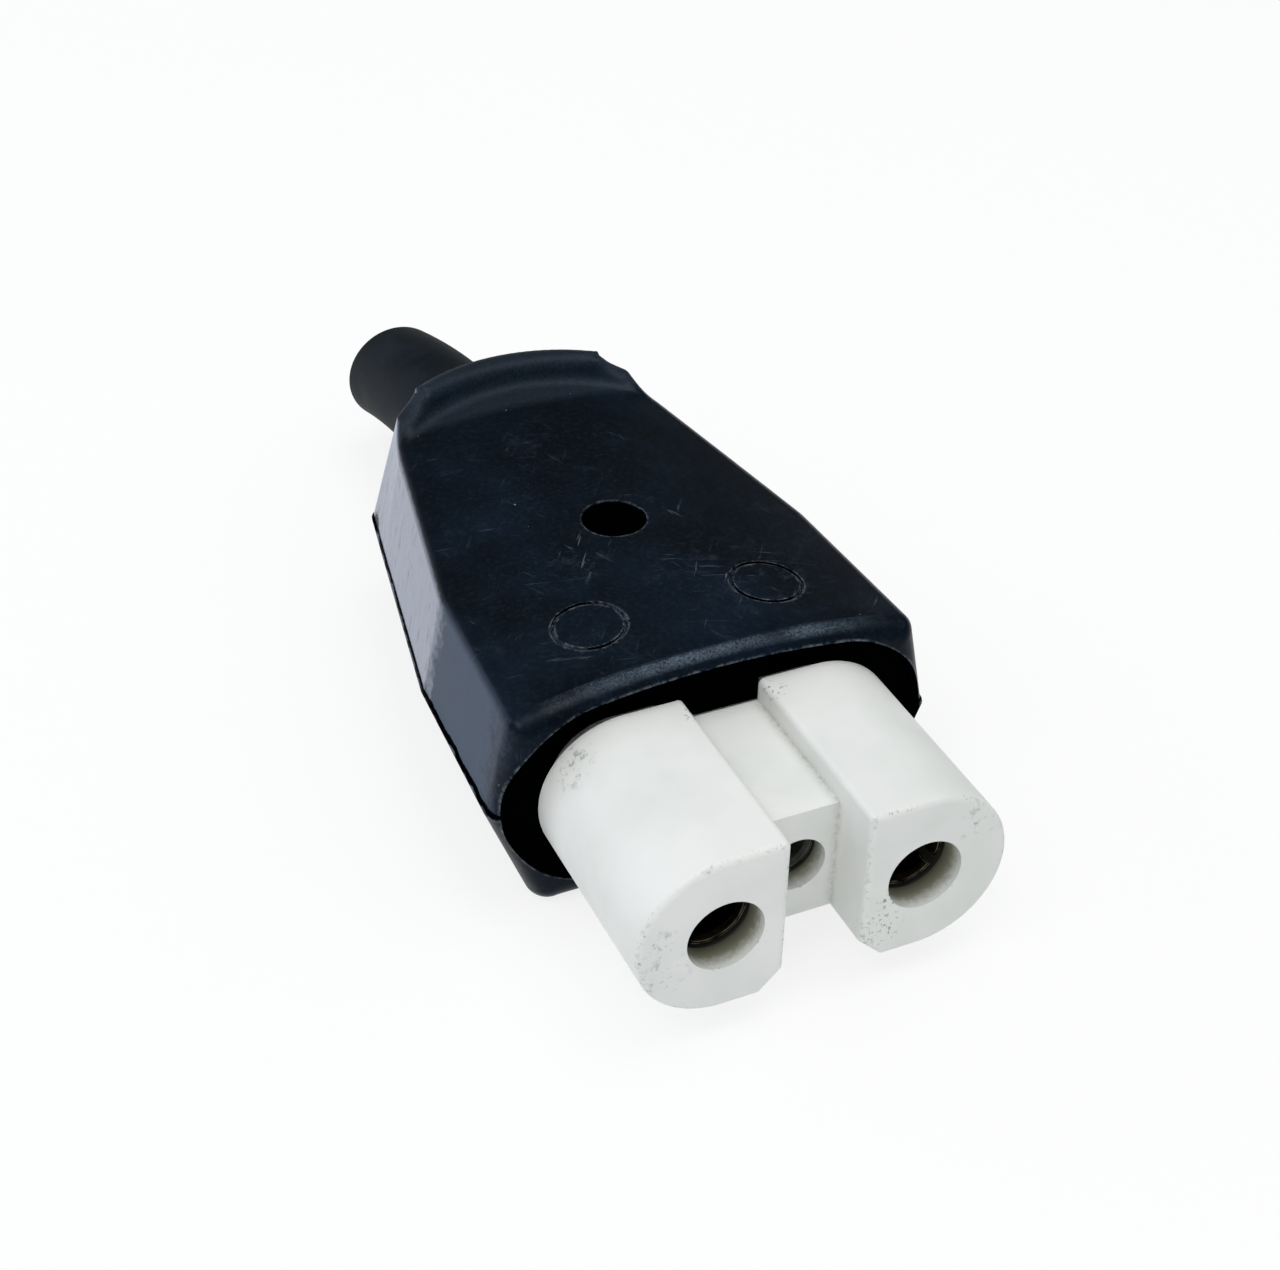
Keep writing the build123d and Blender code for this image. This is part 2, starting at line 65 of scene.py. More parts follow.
def sharpEdges(tree, radius, start, full):  # 0 on a face, 1 on a corner, where the rounded normal leaves the true one
    trueNormal = addNode(tree, "NewGeometry", output="Normal")
    rounded = addNode(tree, "Bevel", {"Radius": radius}, samples=6)
    agreement = addNode(tree, "VectorMath", [rounded, trueNormal], "Value", operation="DOT_PRODUCT")
    return addNode(tree, "MapRange", [agreement, start, full])


def specks(tree, place, spacing, share, size):  # round dots, one at most in each cell
    cells = addNode(tree, "TexVoronoi", {"Vector": place, "Scale": perMetre(spacing)}, None)
    pick = addNode(tree, "SeparateColor", [cells["Color"]])
    radius = addNode(tree, "MapRange", [pick, 1 - share, 1.0, 0.0, size])
    return addNode(tree, "Math", [cells["Distance"], radius], operation="LESS_THAN")


def wornPlaces(tree, place, places, worn=0.0):  # 1 at the centre of each place, 0 at its reach, in metres
    for centre, reach in places:
        away = addNode(tree, "VectorMath", [place, centre], "Value", operation="DISTANCE")
        spot = addNode(tree, "MapRange", [away, reach, reach * 0.3])
        worn = addNode(tree, "Math", [worn, spot], operation="MAXIMUM")
    return worn


# Phenolic resin pressed in a polished mould: near black with a blue cast, satin on top.
# The grip flanks are rubbed smooth by fingers and carry a painted grey-blue sheen; the lip, corners and seam are worn;
# both lips carry a painted highlight, the seam a painted shadow, and the hollows painted shade.
# Its IOR was matched and lies below the 1.6 of clean resin. The scratches are drawn
# about four times as wide as real ones, so that they show.
housingLook = {
    "colours": {
        "body": "#070e15",
        "cloud": "#0d1a28",
        "smudge": "#2b3946",
        # a painted grey-blue sheen, first on the grip flanks, then on the front flanks
        "gripSheenPaint": "#66768c",
        "flankSheenPaint": "#536b8a",
        # a painted highlight on the round of the front lip
        "lipHighlight": "#5e6e7d",
        # scratches, and the painted highlight along the lower shell's lip
        "scuffAndHighlight": "#5c6b79",
        "worn": "#8e99a3",
        "dust": "#92a0aa",
        # painted shade in the hollows, and painted shadow along the seam
        "paintedShadeBlack": "#020305",
        "sheenTint": "#e2ecff",
        "coatTint": "#d3e1f8",
    },
    "grains": {
        "cloud": (14, 5.0, 0.62),
        "patches": (7, 3.0, 0.5),
        "smudges": (1.6, 6.0, 0.75),
        "mottle": (0.5, 5.0, 0.8),
        "ragged": (1.5, 5.0, 0.7),
        "sprinkle": (0.22, 3.0, 0.8),
        "bands": (5, 3.0, 0.5),
        "rub": (0.8, 5.0, 0.7),
        "wobble": (2.5, 3.0, 0.5),
        "lip": (1.1, 4.0, 0.7),
        "mould": (0.35, 3.0, 0.5),
    },
    "scratchSize": (5, 0.4, 5),  # mm along x, y and z, as the next two
    "streakSize": (3, 0.9, 6),
    "nickSize": (3, 0.6, 3),
    "scratchTurns": (0.35, 1.2, 2.2),
    "smudgeShare": 0.55,
    "scratchShare": 0.7,
    "dustShare": 0.5,
    "nickShare": 0.65,
    "wearShare": 0.5,
    "speckSpacing": 1.9,
    "speckShare": 0.2,
    "speckSize": 0.06,
    "topRoughness": 0.34,
    "frontFlankRoughness": 0.42,
    "gripRoughness": 0.15,
    "rubbedRoughness": 0.65,
    "rimRoughness": 0.6,
    "lipRoughness": 0.6,
    "hollowRoughness": 1.0,
    "topShine": 0.5,
    "frontFlankShine": 0.27,
    "gripShine": 0.95,
    "lipShine": 0.2,
    "forwardShine": 0.1,
    "bareAndShadedShine": 0.02,
    "ior": 1.42,
    "coat": (0.68, 0.5),
    "coatRoughness": 0.12,
    "coatIor": 1.5,
    "bumpStrength": 0.12,
    "bumpHeight": 0.00005,
    "edgeRadius": 0.0004,
    "seamRise": 0.0001,
    "seamHalf": 0.00026,
    "gripSeamHalf": 0.00008,
    "lipDrop": 0.00035,
    "lipHalf": (0.00022, 0.0001),
    "lipBack": -0.0297,
    "lipEnds": (0.0175, 0.009),
    "rimFront": 0.0145,
    "partingHeight": 0.0115,
    "gripFront": -0.0118,
    "mouthBack": (-0.0291, -0.01),
    "wellAxis": (0.0, -0.0079, 0.0),
    "wellRadius": 0.0032,
    "wellTop": 0.0234,
    "chippedCorner": [((-0.0159, 0.0176, 0.0112), 0.0024)],
    "scratchedPlaces": [((0.004, -0.019, 0.0236), 0.007), ((-0.006, -0.012, 0.0236), 0.005), ((0.011, -0.021, 0.023), 0.006)],
}


def mouldedPhenolic(look):
    material, tree, place, colours, grains = newMaterial("mouldedPhenolic", look)
    normal = addNode(tree, "NewGeometry", output="Normal")
    facing = addNode(tree, "SeparateXYZ", [normal], None)
    axes = addNode(tree, "SeparateXYZ", [place], None)
    clouded = addNode(tree, "MapRange", [grains["cloud"], 0.42, 0.7])

    # fine scratches in three directions, thick only where the connector was rubbed
    patches = addNode(tree, "MapRange", [grains["patches"], 0.52, 0.66, 0.0, 0.6])
    rubbed = wornPlaces(tree, place, look["scratchedPlaces"], patches)
    scratches = 0.0
    for turn in look["scratchTurns"]:
        turned = addNode(tree, "Mapping", {"Vector": place, "Rotation": (0.0, 0.0, turn)})
        drawn = addNode(tree, "Mapping", {"Vector": turned, "Scale": [perMetre(size) for size in look["scratchSize"]]})
        lines = addNode(tree, "TexNoise", {"Vector": drawn, "Scale": 1.0, "Detail": 4.0, "Distortion": 0.9})
        lines = addNode(tree, "MapRange", [lines, 0.66, 0.74])
        scratches = addNode(tree, "Math", [scratches, lines], operation="MAXIMUM")
    scratches = addNode(tree, "Math", [scratches, rubbed], operation="MULTIPLY")
    smudges = addNode(tree, "MapRange", [grains["smudges"], 0.52, 0.75])
    smudges = addNode(tree, "Math", [smudges, rubbed], operation="MULTIPLY")
    mottle = addNode(tree, "MapRange", [grains["mottle"], 0.5, 0.72, 0.0, 0.3])
    dust = specks(tree, place, look["speckSpacing"], look["speckShare"], look["speckSize"])

    # the flanks behind and before the grip's front edge, which is ragged, and a painted grey-blue sheen on them
    sideways = addNode(tree, "Math", [facing[0]], operation="ABSOLUTE")
    flank = addNode(tree, "MapRange", [sideways, 0.75, 0.93])
    offFlank = addNode(tree, "Math", [1.0, flank], operation="SUBTRACT")
    ragged = addNode(tree, "MapRange", [grains["ragged"], 0.3, 0.7, -0.002, 0.002])
    raggedY = addNode(tree, "Math", [axes[1], ragged], operation="ADD")
    grip = addNode(tree, "MapRange", [raggedY, look["gripFront"] - 0.0015, look["gripFront"] + 0.0015])
    offGrip = addNode(tree, "Math", [1.0, grip], operation="SUBTRACT")
    offLip = addNode(tree, "MapRange", [raggedY, look["lipBack"] - 0.0015, look["lipBack"] + 0.0025])
    gripFlank = addNode(tree, "Math", [flank, grip], operation="MULTIPLY")
    frontFlank = addNode(tree, "Math", [flank, offGrip], operation="MULTIPLY")
    streaky = addNode(tree, "Mapping", {"Vector": place, "Scale": [perMetre(size) for size in look["streakSize"]]})
    streaks = addNode(tree, "TexNoise", {"Vector": streaky, "Scale": 1.0, "Detail": 5.0, "Roughness": 0.65})
    frontSheenAmount = addNode(tree, "MapRange", [grains["sprinkle"], 0.3, 0.7, 0.16, 0.5])
    gripSheenAmount = addNode(tree, "MapRange", [streaks, 0.3, 0.6, 0.24, 0.5])
    paintedSheen = addNode(tree, "Mix", {0: grip, 2: frontSheenAmount, 3: gripSheenAmount})
    for mask in (flank, offLip):
        paintedSheen = addNode(tree, "Math", [paintedSheen, mask], operation="MULTIPLY")
    # the colour of the painted sheen, greyer on the grip
    colours["bloomAndPaintedSheen"] = addNode(
        tree, "Mix", {0: grip, 6: colours["flankSheenPaint"], 7: colours["gripSheenPaint"]}, 2, data_type="RGBA")

    # a grainy painted highlight on the round of the front lip, which fades to both sides, and a dull rim
    fromMiddle = addNode(tree, "Math", [axes[0]], operation="ABSOLUTE")
    frontRound = addNode(tree, "Math", [axes[1], look["lipBack"]], operation="LESS_THAN")
    for mask in (
            addNode(tree, "MapRange", [facing[2], 0.72, 0.9]),
            addNode(tree, "MapRange", [facing[2], 0.997, 0.98]),
            addNode(tree, "MapRange", [grains["bands"], 0.35, 0.6, 0.25, 1.0]),
            addNode(tree, "MapRange", [grains["sprinkle"], 0.36, 0.66, 0.0, 0.9]),
            addNode(tree, "MapRange", [fromMiddle, *look["lipEnds"]])):
        frontRound = addNode(tree, "Math", [frontRound, mask], operation="MULTIPLY")
    atRim = addNode(tree, "MapRange", [axes[1], look["rimFront"], look["rimFront"] + 0.0015])
    atRim = addNode(tree, "Math", [atRim, offFlank], operation="MULTIPLY")
    dulled = addNode(tree, "MapRange", [grains["sprinkle"], 0.35, 0.65, 0.1, 0.5])
    dulled = addNode(tree, "Math", [atRim, dulled], operation="MULTIPLY")

    # the chipped corner and short nicks in the grip, which show bare resin
    crumbled = addNode(tree, "MapRange", [grains["sprinkle"], 0.3, 0.7, -0.3, 0.3])
    corner = wornPlaces(tree, place, look["chippedCorner"])
    corner = addNode(tree, "Math", [corner, crumbled], operation="ADD")
    corner = addNode(tree, "MapRange", [corner, 0.45, 0.6])
    nicked = addNode(tree, "Mapping", {"Vector": place, "Scale": [perMetre(size) for size in look["nickSize"]]})
    nicks = addNode(tree, "TexNoise", {"Vector": nicked, "Scale": 1.0, "Detail": 4.0, "Roughness": 0.6})
    nicks = addNode(tree, "MapRange", [nicks, 0.59, 0.65, 0.0, look["nickShare"]])
    nicks = addNode(tree, "Math", [nicks, gripFlank], operation="MULTIPLY")
    chip = addNode(tree, "Math", [corner, nicks], operation="MAXIMUM")
    whole = addNode(tree, "Math", [1.0, chip], operation="SUBTRACT")

    wear = sharpEdges(tree, look["edgeRadius"], 0.995, 0.9)
    for mask in (addNode(tree, "MapRange", [grains["rub"], 0.42, 0.68]), look["wearShare"]):
        wear = addNode(tree, "Math", [wear, mask], operation="MULTIPLY")

    # seam between the shells: a dark line which is partly the joint and partly painted shadow under the ledge, and
    # below it a grainy painted highlight along the lip of the lower shell
    wobble = addNode(tree, "MapRange", [grains["wobble"], 0.3, 0.7, -0.0002, 0.0002])
    height = addNode(tree, "Math", [axes[2], look["partingHeight"]], operation="SUBTRACT")
    height = addNode(tree, "Math", [height, wobble], operation="ADD")
    fromSeam = addNode(tree, "Math", [height, look["seamRise"]], operation="SUBTRACT")
    fromSeam = addNode(tree, "Math", [fromSeam], operation="ABSOLUTE")
    seamHalf = addNode(tree, "Mix", {0: gripFlank, 2: look["seamHalf"], 3: look["gripSeamHalf"]})
    seamAndShadow = addNode(tree, "Math", [fromSeam, seamHalf], operation="LESS_THAN")
    fromLip = addNode(tree, "Math", [height, look["lipDrop"]], operation="ADD")
    fromLip = addNode(tree, "Math", [fromLip], operation="ABSOLUTE")
    lip = addNode(tree, "MapRange", [fromLip, *look["lipHalf"]])
    lipHighlightGrain = addNode(tree, "MapRange", [grains["lip"], 0.42, 0.6, 0.0, 0.8])
    lip = addNode(tree, "Math", [lip, lipHighlightGrain], operation="MULTIPLY")

    # painted shade: the inside of the shells, the screw well and the mouth's recess are painted near black and rough
    fromAxis = addNode(tree, "VectorMath", [place, (0.0, 0.0, look["partingHeight"])], operation="SUBTRACT")
    fromAxis = addNode(tree, "VectorMath", [fromAxis, (1.0, 0.0, 1.0)], operation="MULTIPLY")
    outward = addNode(tree, "VectorMath", [fromAxis, normal], "Value", operation="DOT_PRODUCT")
    inside = addNode(tree, "Math", [outward, -0.003], operation="LESS_THAN")
    offRim = addNode(tree, "Math", [axes[1], look["rimFront"] - 0.002], operation="LESS_THAN")
    inside = addNode(tree, "Math", [inside, offRim], operation="MULTIPLY")
    fromWell = addNode(tree, "VectorMath", [place, look["wellAxis"]], operation="SUBTRACT")
    fromWell = addNode(tree, "VectorMath", [fromWell, (1.0, 1.0, 0.0)], operation="MULTIPLY")
    fromWell = addNode(tree, "VectorMath", [fromWell], "Value", operation="LENGTH")
    inWell = addNode(tree, "Math", [fromWell, look["wellRadius"]], operation="LESS_THAN")
    underTop = addNode(tree, "Math", [axes[2], look["wellTop"]], operation="LESS_THAN")
    inWell = addNode(tree, "Math", [inWell, underTop], operation="MULTIPLY")
    recess = addNode(tree, "Math", [facing[1], -0.9], operation="LESS_THAN")
    for mask in (
            addNode(tree, "Math", [axes[1], look["mouthBack"][0]], operation="GREATER_THAN"),
            addNode(tree, "Math", [axes[1], look["mouthBack"][1]], operation="LESS_THAN")):
        recess = addNode(tree, "Math", [recess, mask], operation="MULTIPLY")
    shadedPlaces = seamAndShadow
    for mask in (inside, inWell, recess):
        shadedPlaces = addNode(tree, "Math", [shadedPlaces, mask], operation="MAXIMUM")

    colour = colours["body"]
    for amount, share, coat in (
            (clouded, 1.0, "cloud"),
            (mottle, 1.0, "smudge"),
            (smudges, look["smudgeShare"], "smudge"),
            (scratches, look["scratchShare"], "scuffAndHighlight"),
            (dust, look["dustShare"], "dust"),
            (paintedSheen, 1.0, "bloomAndPaintedSheen"),
            (frontRound, 1.0, "lipHighlight"),
            (dulled, 1.0, "smudge"),
            (chip, 1.0, "body"),
            (wear, 1.0, "worn"),
            (lip, 1.0, "scuffAndHighlight"),
            (shadedPlaces, 1.0, "paintedShadeBlack")):
        amount = addNode(tree, "Math", [amount, share], operation="MULTIPLY")
        colour = addNode(tree, "Mix", {0: amount, 6: colour, 7: colours[coat]}, 2, data_type="RGBA")

    roughness = addNode(tree, "Mix", {0: grip, 2: look["frontFlankRoughness"], 3: look["gripRoughness"]})
    roughness = addNode(tree, "Mix", {0: flank, 2: look["topRoughness"], 3: roughness})
    uneven = addNode(tree, "Mix", {0: gripFlank, 2: grains["sprinkle"], 3: streaks})
    uneven = addNode(tree, "MapRange", [uneven, 0.35, 0.7, -0.03, 0.09])
    roughness = addNode(tree, "Math", [roughness, uneven], operation="ADD")
    for amount, rougher in (
            (addNode(tree, "Math", [wear, smudges], operation="MAXIMUM"), look["rubbedRoughness"]),
            (atRim, look["rimRoughness"]),
            (frontRound, look["lipRoughness"]),
            (shadedPlaces, look["hollowRoughness"])):
        roughness = addNode(tree, "Mix", {0: amount, 2: roughness, 3: rougher})

    # dull on what faces forwards, and with almost no reflection where the resin is bare and where shade is painted
    shine = addNode(tree, "Mix", {0: frontFlank, 2: look["topShine"], 3: look["frontFlankShine"]})
    shine = addNode(tree, "Mix", {0: gripFlank, 2: shine, 3: look["gripShine"]})
    shine = addNode(tree, "Mix", {0: offLip, 2: look["lipShine"], 3: shine})
    forward = addNode(tree, "MapRange", [facing[1], -0.55, -0.85])
    shine = addNode(tree, "Mix", {0: forward, 2: shine, 3: look["forwardShine"]})
    bareAndShaded = addNode(tree, "Math", [shadedPlaces, chip], operation="MAXIMUM")
    shine = addNode(tree, "Mix", {0: bareAndShaded, 2: shine, 3: look["bareAndShadedShine"]})
    polish = addNode(tree, "MapRange", [streaks, 0.3, 0.6, *look["coat"]])
    for mask in (gripFlank, whole):
        polish = addNode(tree, "Math", [polish, mask], operation="MULTIPLY")

    grooves = addNode(tree, "Math", [scratches, -0.8], operation="MULTIPLY")
    relief = addNode(tree, "Math", [grooves, grains["mould"]], operation="ADD")
    finishMaterial(tree, {
        "Base Color": colour,
        "Roughness": roughness,
        "IOR": look["ior"],
        "Specular IOR Level": shine,
        "Specular Tint": colours["sheenTint"],
        "Coat Weight": polish,
        "Coat Roughness": look["coatRoughness"],
        "Coat IOR": look["coatIor"],
        "Coat Tint": colours["coatTint"],
        "Normal": addNode(tree, "Bump", {
            "Height": relief, "Strength": look["bumpStrength"], "Distance": look["bumpHeight"]})})
    return material


# Steatite porcelain, pressed and fired under a thin satin glaze: white, a little warm in patches.
# The bores are dirty from use and carry painted shade that deepens inward, the inner corners carry dirt and painted
# shade, and the front edges are crumbled, pitted and smeared.
porcelainLook = {
    "colours": {
        "glaze": "#eaebe8",
        "bisque": "#dee1dd",
        "stainAndShade": "#b4b2a6",
        # dirt and painted shade in the inner corners
        "grimeAndShade": "#a09f8a",
        # grime and painted shade on the bore walls, then painted shade deeper in
        "deepBoreShade": "#5a5b51",
        "chip": "#565650",
        "smear": "#9aa5a0",
    },
    "grains": {
        "cloud": (9, 3.0, 0.5),
        "grimeAndShade": (0.5, 4.0, 0.7),
        "crumbs": (0.35, 4.0, 0.7),
        "crumbled": (3, 2.0, 0.5),
        "pits": (0.42, 3.0, 0.6),
        "smears": (0.8, 4.0, 0.7),
        "ripple": (3.0, 3.0, 0.5),
    },
    "crumbShare": 0.7,
    "frontSmearShare": 0.4,
    "smearShare": 0.9,
    "markShare": 0.75,
    "speckSpacing": 1.6,
    "speckShare": 0.08,
    "speckSize": 0.06,
    "roughness": (0.48, 0.6),
    "markRoughness": 0.9,
    "ior": 1.5,
    "bumpStrength": 0.35,
    "bumpHeight": 0.00012,
    "cornerReach": 0.0014,
    "edgeRadius": 0.0005,
    "lineFace": -0.0525,
    "earthFace": -0.047,
    "lineSpread": 0.0095,
    "lineRadius": 0.00435,
    "earthRadius": 0.00355,
    "axisHeight": 0.0115,
    "grimyDepth": (0.0, 0.0013),
    "darkDepth": (0.0014, 0.0036),
    "pittedPlaces": [
        ((0.0056, -0.0525, 0.0068), 0.0026), ((0.0061, -0.0525, 0.0098), 0.0014), ((-0.0019, -0.0525, 0.0165), 0.0012),
        ((0.0042, -0.0335, 0.0196), 0.0016), ((-0.0038, -0.0335, 0.0195), 0.0015)],
    "smearedPlaces": [
        ((-0.0149, -0.0525, 0.0092), 0.0026), ((-0.0155, -0.0518, 0.0125), 0.0022),
        ((0.0144, -0.0525, 0.0158), 0.0024), ((-0.0155, -0.0335, 0.0175), 0.003)],
}


def glazedSteatite(look):
    material, tree, place, colours, grains = newMaterial("glazedSteatite", look)
    normal = addNode(tree, "NewGeometry", output="Normal")
    facing = addNode(tree, "SeparateXYZ", [normal], None)
    axes = addNode(tree, "SeparateXYZ", [place], None)
    warm = addNode(tree, "MapRange", [grains["cloud"], 0.35, 0.7])
    corners = addNode(tree, "AmbientOcclusion", {"Distance": look["cornerReach"]}, "AO", samples=6)
    corners = addNode(tree, "MapRange", [corners, 0.78, 0.35, 0.0, 0.9])
    cornerDirtAndShade = addNode(tree, "MapRange", [grains["grimeAndShade"], 0.35, 0.62])
    cornerDirtAndShade = addNode(tree, "Math", [corners, cornerDirtAndShade], operation="MULTIPLY")  # dirt and painted shade in inner corners, darkest where the ambient occlusion is

    # crumbs along the edges and the round of each front, pits and grey smears in the worn places
    offWall = addNode(tree, "MapRange", [facing[1], -0.15, -0.4])
    offFace = addNode(tree, "MapRange", [facing[1], -0.995, -0.9])
    frontRound = addNode(tree, "Math", [offWall, offFace], operation="MULTIPLY")
    edge = sharpEdges(tree, look["edgeRadius"], 0.995, 0.93)
    edge = addNode(tree, "Math", [edge, frontRound], operation="MAXIMUM")
    crumbs = addNode(tree, "MapRange", [grains["crumbs"], 0.57, 0.63])
    for mask in (edge, addNode(tree, "MapRange", [grains["crumbled"], 0.47, 0.6]), look["crumbShare"]):
        crumbs = addNode(tree, "Math", [crumbs, mask], operation="MULTIPLY")
    pits = addNode(tree, "MapRange", [grains["pits"], 0.57, 0.61])
    pitted = wornPlaces(tree, place, look["pittedPlaces"])
    marks = addNode(tree, "Math", [pits, pitted], operation="MULTIPLY")
    for mark in (crumbs, specks(tree, place, look["speckSpacing"], look["speckShare"], look["speckSize"])):
        marks = addNode(tree, "Math", [marks, mark], operation="MAXIMUM")
    smears = addNode(tree, "MapRange", [grains["smears"], 0.54, 0.64])
    smeared = addNode(tree, "Math", [frontRound, look["frontSmearShare"]], operation="MULTIPLY")
    smeared = wornPlaces(tree, place, look["smearedPlaces"], smeared)
    smears = addNode(tree, "Math", [smears, smeared], operation="MULTIPLY")

    # grime on the bore walls, and painted shade that darkens them with depth
    aside = addNode(tree, "Math", [axes[0]], operation="ABSOLUTE")
    aside = addNode(tree, "Math", [aside, look["lineSpread"]], operation="SUBTRACT")
    rise = addNode(tree, "Math", [axes[2], look["axisHeight"]], operation="SUBTRACT")
    rise = addNode(tree, "Math", [rise, rise], operation="MULTIPLY")
    depth = -1.0
    for across, radius, face in (
            (aside, look["lineRadius"], look["lineFace"]), (axes[0], look["earthRadius"], look["earthFace"])):
        reach = addNode(tree, "Math", [across, across], operation="MULTIPLY")
        reach = addNode(tree, "Math", [reach, rise], operation="ADD")
        reach = addNode(tree, "Math", [reach], operation="SQRT")
        inBore = addNode(tree, "Math", [reach, radius], operation="LESS_THAN")
        below = addNode(tree, "Math", [axes[1], face], operation="SUBTRACT")
        below = addNode(tree, "Math", [below, inBore], operation="MULTIPLY")
        depth = addNode(tree, "Math", [depth, below], operation="MAXIMUM")
    boreGrimeAndShade = addNode(tree, "MapRange", [grains["grimeAndShade"], 0.3, 0.7, -0.0007, 0.0])
    boreGrimeAndShade = addNode(tree, "Math", [depth, boreGrimeAndShade], operation="ADD")
    boreGrimeAndShade = addNode(tree, "MapRange", [boreGrimeAndShade, *look["grimyDepth"]])
    dark = addNode(tree, "MapRange", [depth, *look["darkDepth"]])

    colour = colours["glaze"]
    for amount, share, coat in (
            (warm, 1.0, "bisque"),
            (cornerDirtAndShade, 1.0, "stainAndShade"),
            (smears, look["smearShare"], "smear"),
            (marks, look["markShare"], "chip"),
            (boreGrimeAndShade, 1.0, "grimeAndShade"),
            (dark, 1.0, "deepBoreShade")):
        amount = addNode(tree, "Math", [amount, share], operation="MULTIPLY")
        colour = addNode(tree, "Mix", {0: amount, 6: colour, 7: colours[coat]}, 2, data_type="RGBA")
    roughness = addNode(tree, "MapRange", [grains["cloud"], 0.35, 0.7, *look["roughness"]])
    relief = addNode(tree, "Math", [grains["ripple"], marks], operation="SUBTRACT")
    finishMaterial(tree, {
        "Base Color": colour,
        "Roughness": addNode(tree, "Mix", {0: marks, 2: roughness, 3: look["markRoughness"]}),
        "IOR": look["ior"],
        "Normal": addNode(tree, "Bump", {
            "Height": relief, "Strength": look["bumpStrength"], "Distance": look["bumpHeight"]})})
    return material


# Vulcanised rubber, moulded: dull charcoal, with a little bloom on the outside and a fine mould grain.
sleeveLook = {
    "colours": {"body": "#0b1319", "bloomAndPaintedSheen": "#17222b", "dust": "#4c555c"},
    "grains": {"cloud": (5, 5.0, 0.65), "mould": (0.5, 2.0, 0.5)},
    "dustShare": 0.4,
    "speckSpacing": 1.2,
    "speckShare": 0.25,
    "speckSize": 0.07,
    "roughness": (0.6, 0.75),
    "ior": 1.35,
    "shine": 0.3,
    "bumpStrength": 0.25,
    "bumpHeight": 0.0001,
}


def vulcanisedRubber(look):
    material, tree, place, colours, grains = newMaterial("vulcanisedRubber", look)
    bloomAndPaintedSheen = addNode(tree, "MapRange", [grains["cloud"], 0.35, 0.7])
    dust = specks(tree, place, look["speckSpacing"], look["speckShare"], look["speckSize"])
    dust = addNode(tree, "Math", [dust, look["dustShare"]], operation="MULTIPLY")
    colour = colours["body"]
    for amount, coat in ((bloomAndPaintedSheen, "bloomAndPaintedSheen"), (dust, "dust")):
        colour = addNode(tree, "Mix", {0: amount, 6: colour, 7: colours[coat]}, 2, data_type="RGBA")
    finishMaterial(tree, {
        "Base Color": colour,
        "Roughness": addNode(tree, "MapRange", [grains["cloud"], 0.3, 0.7, *look["roughness"]]),
        "IOR": look["ior"],
        "Specular IOR Level": look["shine"],
        "Normal": addNode(tree, "Bump", {
            "Height": grains["mould"], "Strength": look["bumpStrength"], "Distance": look["bumpHeight"]})})
    return material


# Metals: a clean metal clouded by tarnish, rubbed bright on its edges. The marks are its drawing or turning marks.
metalLooks = {
    "tarnishedBrass": {  # drawn brass tube, browned by heat
        "colours": {"metal": "#3c3325", "tarnish": "#17140f", "bright": "#f0e2c4"},
        "roughness": (0.35, 0.6), "markSize": 0.25},
    "dulledTin": {  # tinned brass tube, gone dull and grey
        "colours": {"metal": "#8d9189", "tarnish": "#62665f", "bright": "#b9bdb4"},
        "roughness": (0.55, 0.75), "markSize": 0.25},
    "turnedBrass": {  # brass turned from bar, still yellow inside the housing
        "colours": {"metal": "#b8954f", "tarnish": "#7c6233", "bright": "#d8ba78"},
        "roughness": (0.25, 0.45), "markSize": 0.2},
    "blueSpringSteel": {  # tempered spring steel, blue-grey
        "colours": {"metal": "#4b5056", "tarnish": "#24282c", "bright": "#8f959b"},
        "roughness": (0.3, 0.5), "markSize": 0.3},
    "zincPlatedSteel": {  # steel under bright zinc
        "colours": {"metal": "#a9adb0", "tarnish": "#77797a", "bright": "#c9ccce"},
        "roughness": (0.3, 0.5), "markSize": 0.3},
}
for look in metalLooks.values():
    look["grains"] = {"cloud": (2.5, 5.0, 0.6), "worn": (0.9, 2.0, 0.5), "marks": (look["markSize"], 1.0, 0.5)}


def agedMetal(name, look):
    material, tree, place, colours, grains = newMaterial(name, look)
    tarnish = addNode(tree, "MapRange", [grains["cloud"], 0.38, 0.66])
    worn = addNode(tree, "MapRange", [grains["worn"], 0.35, 0.55])
    edge = addNode(tree, "Math", [sharpEdges(tree, 0.0002, 0.97, 0.85), worn], operation="MULTIPLY")
    colour = colours["metal"]
    for amount, coat in ((tarnish, "tarnish"), (edge, "bright")):
        colour = addNode(tree, "Mix", {0: amount, 6: colour, 7: colours[coat]}, 2, data_type="RGBA")
    finishMaterial(tree, {
        "Base Color": colour,
        "Metallic": addNode(tree, "MapRange", [edge, 0.0, 1.0, 1.0, 0.3]),  # a rubbed edge scatters pale light
        "Roughness": addNode(tree, "MapRange", [grains["cloud"], 0.35, 0.7, *look["roughness"]]),
        "Normal": addNode(tree, "Bump", {"Height": grains["marks"], "Strength": 0.15, "Distance": 0.00003})})
    return material


housing = mouldedPhenolic(housingLook)
porcelain = glazedSteatite(porcelainLook)
rubber = vulcanisedRubber(sleeveLook)
metals = {name: agedMetal(name, look) for name, look in metalLooks.items()}
finishes = {  # the first word that a node's name holds gives its finish
    "shell": housing,
    "porcelain": porcelain,
    "sleeve": rubber,
    "earth_socket_tube": metals["dulledTin"],
    "socket_tube": metals["tarnishedBrass"],
    "spring_ring": metals["blueSpringSteel"],
    "block": metals["turnedBrass"],
    "insert": metals["turnedBrass"],
    "cord_clamp": metals["zincPlatedSteel"],
    "screw": metals["zincPlatedSteel"],
    "washer": metals["zincPlatedSteel"],
    "nut": metals["zincPlatedSteel"],
}
for name, node in nodes.items():
    finish = next(material for word, material in finishes.items() if word in name)
    node.data.materials.clear()
    node.data.materials.append(finish)
